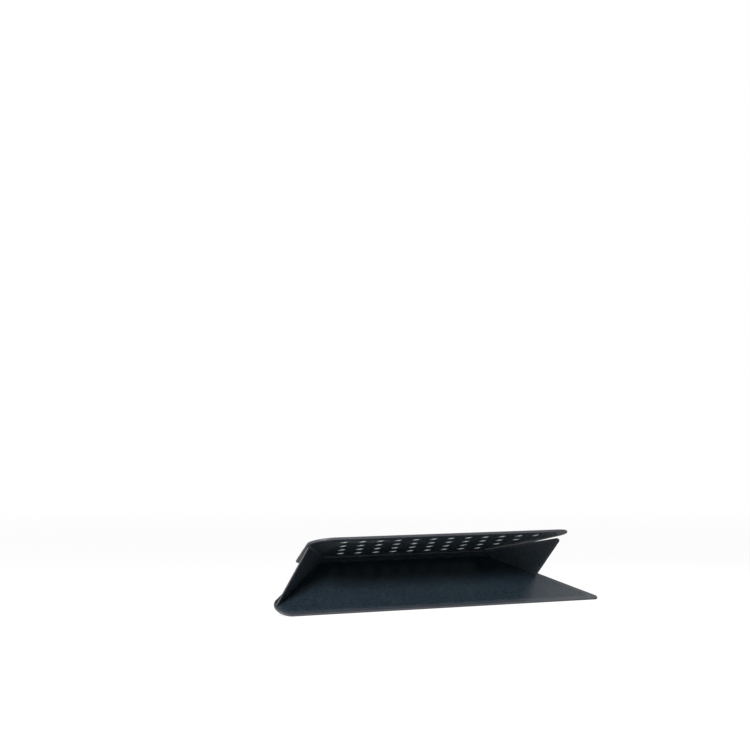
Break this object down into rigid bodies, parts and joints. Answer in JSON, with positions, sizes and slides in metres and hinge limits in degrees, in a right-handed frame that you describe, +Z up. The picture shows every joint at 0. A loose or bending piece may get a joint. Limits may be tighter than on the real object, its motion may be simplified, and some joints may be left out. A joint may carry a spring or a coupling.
{
  "type": "folding laptop stand",
  "caption": "Stick-on folding laptop stand of leather over board: a vented adhesive plate, a fold-down support panel and side wings that prop it open.",
  "frame": {"origin": "on the table, under the middle of the stand's bounding box", "axes": "+X along the fold, to the right seen from behind the laptop; +Y to the front, the laptop user's side; +Z up"},
  "size_m": [0.2298, 0.0796, 0.0469],
  "materials": {
    "leather": "fine-grain matte artificial leather, dark blue-grey",
    "board": "grey glass-fibre laminate sheet",
    "magnet": "nickel-plated bar magnet",
    "adhesive": "dark reusable adhesive sheet"
  },
  "bodies": {
    "plate": {"adhesive_pad": "adhesive", "plate_top_skin": "leather", "plate_board": "board", "plate_under_skin": "leather", "right_catch_magnet": "magnet", "left_catch_magnet": "magnet", "fold_hinge_skin": "leather"},
    "panel": {"panel_upper_skin": "leather", "panel_board": "board", "panel_under_skin": "leather", "right_keeper_magnet": "magnet", "left_keeper_magnet": "magnet", "right_wing_crease_skin": "leather", "left_wing_crease_skin": "leather"},
    "right_wing": {"right_wing_inner_skin": "leather", "right_wing_board": "board", "right_wing_outer_skin": "leather", "right_wing_magnet": "magnet"},
    "left_wing": {"left_wing_inner_skin": "leather", "left_wing_board": "board", "left_wing_outer_skin": "leather", "left_wing_magnet": "magnet"}
  },
  "joints": [
    {"name": "fold", "type": "hinge", "parent": "plate", "child": "panel", "pos_m": [-0.00562, 0.01802, 0.03009], "axis": [-1, 0, 0], "range_deg": [0, 43.8]},
    {"name": "right_wing_crease", "type": "hinge", "parent": "panel", "child": "right_wing", "pos_m": [0.05622, 0.01461, 0.02789], "axis": [0.7632, -0.5432, -0.3501], "range_deg": [0, 86.41]},
    {"name": "left_wing_crease", "type": "hinge", "parent": "panel", "child": "left_wing", "pos_m": [-0.06746, 0.01461, 0.02789], "axis": [0.7632, 0.5432, 0.3501], "range_deg": [0, 86.41]}
  ],
  "couplings": [
    {"joint": "right_wing_crease", "follows": "fold", "ratio": 1.9726},
    {"joint": "left_wing_crease", "follows": "fold", "ratio": 1.9726}
  ]
}
